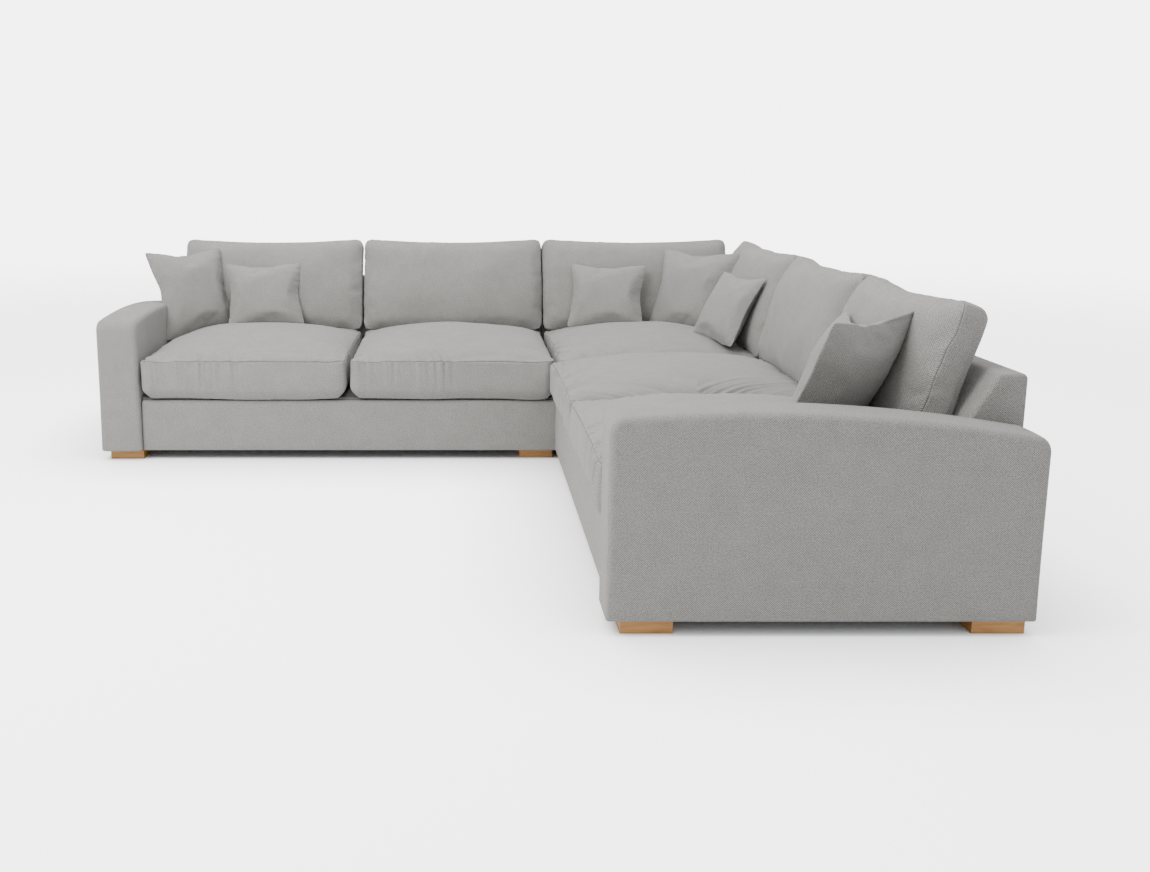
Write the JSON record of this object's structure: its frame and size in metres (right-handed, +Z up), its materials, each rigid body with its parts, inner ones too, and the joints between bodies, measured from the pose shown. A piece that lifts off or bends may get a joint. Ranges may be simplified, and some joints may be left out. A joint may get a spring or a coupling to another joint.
{
  "type": "corner sofa",
  "caption": "Corner sofa with two equal runs, loose seat, back and scatter cushions, a raked low back, straight padded arms and block feet.",
  "frame": {"origin": "on the floor at the middle of the plan's square", "axes": "+Z up; the left run lies along X with its back towards +Y, and the right run lies along Y with its back towards +X"},
  "size_m": [2.921, 2.921, 0.8302],
  "materials": {
    "cover_fabric": "matte woven cloth",
    "cushion_fabric": "matte woven cloth",
    "oak": "satin oiled oak",
    "frame_timber": "sawn softwood",
    "steel": "plain steel",
    "clip_plastic": "moulded, matte",
    "webbing": "elastic webbing",
    "dust_cloth": "thin non-woven cloth",
    "deck_felt": "pressed felt"
  },
  "bodies": {
    "frame": {"left_seat_frame": "frame_timber", "left_seat_springs": "steel", "left_spring_clips": "clip_plastic", "left_deck_pad": "deck_felt", "left_front_border": "cover_fabric", "left_back_frame": "frame_timber", "left_back_webbing": "webbing", "left_back_cover": "cover_fabric", "left_dust_cover": "dust_cloth", "left_arm_frame": "frame_timber", "left_arm_cover": "cover_fabric", "left_arm_bolts": "steel", "left_joining_bolts": "steel", "left_joining_nuts": "steel", "left_feet": "oak", "right_seat_frame": "frame_timber", "right_seat_springs": "steel", "right_spring_clips": "clip_plastic", "right_deck_pad": "deck_felt", "right_front_border": "cover_fabric", "right_back_frame": "frame_timber", "right_back_webbing": "webbing", "right_back_cover": "cover_fabric", "right_dust_cover": "dust_cloth", "right_arm_frame": "frame_timber", "right_arm_cover": "cover_fabric", "right_arm_bolts": "steel", "right_joining_bolts": "steel", "right_joining_nuts": "steel", "right_feet": "oak", "corner_seat_frame": "frame_timber", "corner_seat_springs": "steel", "corner_spring_clips": "clip_plastic", "corner_deck_pad": "deck_felt", "corner_back_frame": "frame_timber", "corner_back_webbing": "webbing", "corner_back_cover_left": "cover_fabric", "corner_back_cover_right": "cover_fabric", "corner_dust_cover": "dust_cloth", "corner_feet": "oak", "foot_screws": "steel"},
    "left_seat_outer": {"left_seat_cushion_outer": "cushion_fabric"},
    "left_seat_inner": {"left_seat_cushion_inner": "cushion_fabric"},
    "corner_seat": {"corner_seat_cushion": "cushion_fabric"},
    "right_seat_inner": {"right_seat_cushion_inner": "cushion_fabric"},
    "right_seat_outer": {"right_seat_cushion_outer": "cushion_fabric"},
    "left_back_outer": {"left_back_cushion_outer": "cushion_fabric"},
    "left_back_inner": {"left_back_cushion_inner": "cushion_fabric"},
    "corner_back_left": {"corner_back_cushion_left": "cushion_fabric"},
    "corner_back_right": {"corner_back_cushion_right": "cushion_fabric"},
    "right_back_inner": {"right_back_cushion_inner": "cushion_fabric"},
    "right_back_outer": {"right_back_cushion_outer": "cushion_fabric"},
    "left_scatter_large": {"left_scatter_cushion_large": "cushion_fabric"},
    "left_scatter_small": {"left_scatter_cushion_small": "cushion_fabric"},
    "corner_scatter_large": {"corner_scatter_cushion_large": "cushion_fabric"},
    "corner_scatter_left": {"corner_scatter_cushion_left": "cushion_fabric"},
    "corner_scatter_right": {"corner_scatter_cushion_right": "cushion_fabric"},
    "right_scatter_large": {"right_scatter_cushion_large": "cushion_fabric"},
    "right_scatter_small": {"right_scatter_cushion_small": "cushion_fabric"}
  },
  "joints": [
    {"name": "left_seat_outer_lift", "type": "slide", "parent": "frame", "child": "left_seat_outer", "axis": [0, 0, 1], "range_m": [0, 0.1]},
    {"name": "left_seat_inner_lift", "type": "slide", "parent": "frame", "child": "left_seat_inner", "axis": [0, 0, 1], "range_m": [0, 0.1]},
    {"name": "corner_seat_lift", "type": "slide", "parent": "frame", "child": "corner_seat", "axis": [0, 0, 1], "range_m": [0, 0.1]},
    {"name": "right_seat_inner_lift", "type": "slide", "parent": "frame", "child": "right_seat_inner", "axis": [0, 0, 1], "range_m": [0, 0.1]},
    {"name": "right_seat_outer_lift", "type": "slide", "parent": "frame", "child": "right_seat_outer", "axis": [0, 0, 1], "range_m": [0, 0.1]},
    {"name": "left_back_outer_lift", "type": "slide", "parent": "left_seat_outer", "child": "left_back_outer", "axis": [0, 0, 1], "range_m": [0, 0.2]},
    {"name": "left_back_inner_lift", "type": "slide", "parent": "left_seat_inner", "child": "left_back_inner", "axis": [0, 0, 1], "range_m": [0, 0.2]},
    {"name": "corner_back_left_lift", "type": "slide", "parent": "corner_seat", "child": "corner_back_left", "axis": [0, 0, 1], "range_m": [0, 0.2]},
    {"name": "corner_back_right_lift", "type": "slide", "parent": "corner_back_left", "child": "corner_back_right", "axis": [0, 0, 1], "range_m": [0, 0.2]},
    {"name": "right_back_inner_lift", "type": "slide", "parent": "right_seat_inner", "child": "right_back_inner", "axis": [0, 0, 1], "range_m": [0, 0.2]},
    {"name": "right_back_outer_lift", "type": "slide", "parent": "right_seat_outer", "child": "right_back_outer", "axis": [0, 0, 1], "range_m": [0, 0.2]},
    {"name": "left_scatter_large_lift", "type": "slide", "parent": "left_back_outer", "child": "left_scatter_large", "axis": [0, 0, 1], "range_m": [0, 0.15]},
    {"name": "left_scatter_small_lift", "type": "slide", "parent": "left_scatter_large", "child": "left_scatter_small", "axis": [0, 0, 1], "range_m": [0, 0.15]},
    {"name": "right_scatter_small_lift", "type": "slide", "parent": "right_back_outer", "child": "right_scatter_small", "axis": [0, 0, 1], "range_m": [0, 0.15]},
    {"name": "right_scatter_large_lift", "type": "slide", "parent": "right_back_outer", "child": "right_scatter_large", "axis": [0, 0, 1], "range_m": [0, 0.15]},
    {"name": "corner_scatter_large_lift", "type": "slide", "parent": "corner_back_right", "child": "corner_scatter_large", "axis": [0, 0, 1], "range_m": [0, 0.15]},
    {"name": "corner_scatter_left_lift", "type": "slide", "parent": "corner_back_left", "child": "corner_scatter_left", "axis": [0, 0, 1], "range_m": [0, 0.15]},
    {"name": "corner_scatter_right_lift", "type": "slide", "parent": "corner_back_right", "child": "corner_scatter_right", "axis": [0, 0, 1], "range_m": [0, 0.15]}
  ]
}
